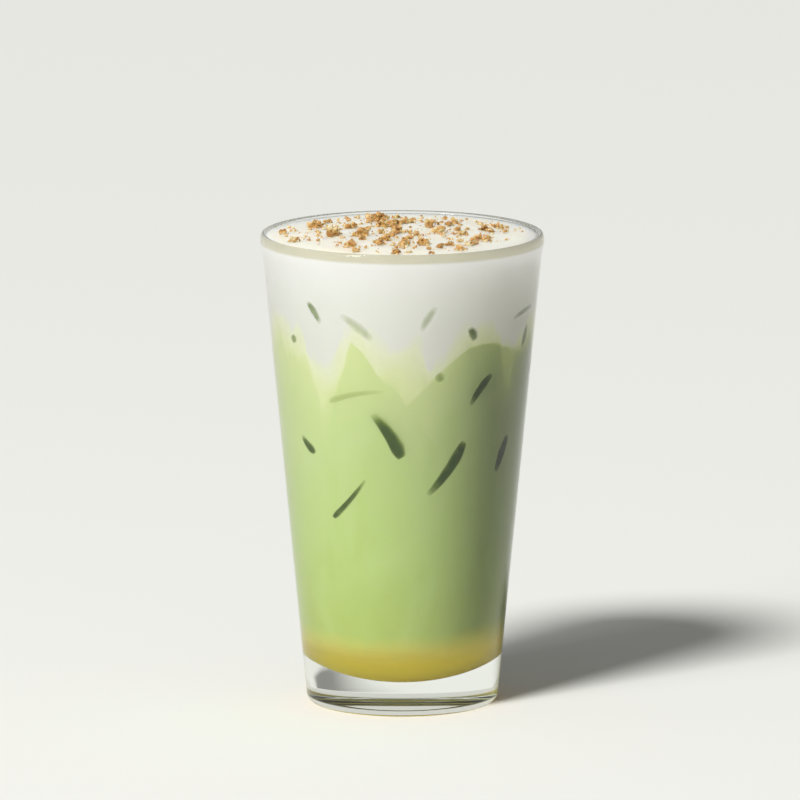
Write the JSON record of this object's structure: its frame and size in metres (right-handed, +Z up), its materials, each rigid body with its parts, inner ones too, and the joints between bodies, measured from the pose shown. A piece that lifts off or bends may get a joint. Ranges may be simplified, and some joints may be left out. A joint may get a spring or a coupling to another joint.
{
  "type": "iced matcha latte",
  "caption": "Tapered clear glass filled to the brim with a layered iced drink: golden syrup, green matcha milk and white cream strewn with crumbs.",
  "frame": {"origin": "centre of the foot's resting face", "axes": "+Z up along the glass's axis, -Y towards the front of the drink, +X to the right"},
  "size_m": [0.089, 0.089, 0.1492],
  "materials": {
    "clear_glass": "clear pressed glass, smooth, fire-polished lip",
    "golden_syrup": "opaque golden syrup, glossy",
    "matcha_and_milk": "milky green drink, glossy",
    "poured_cream": "white pouring cream, satin"
  },
  "bodies": {
    "root": {"tumbler": "clear_glass", "syrup": "golden_syrup", "matcha_milk": "matcha_and_milk", "cream": "poured_cream"}
  },
  "joints": []
}
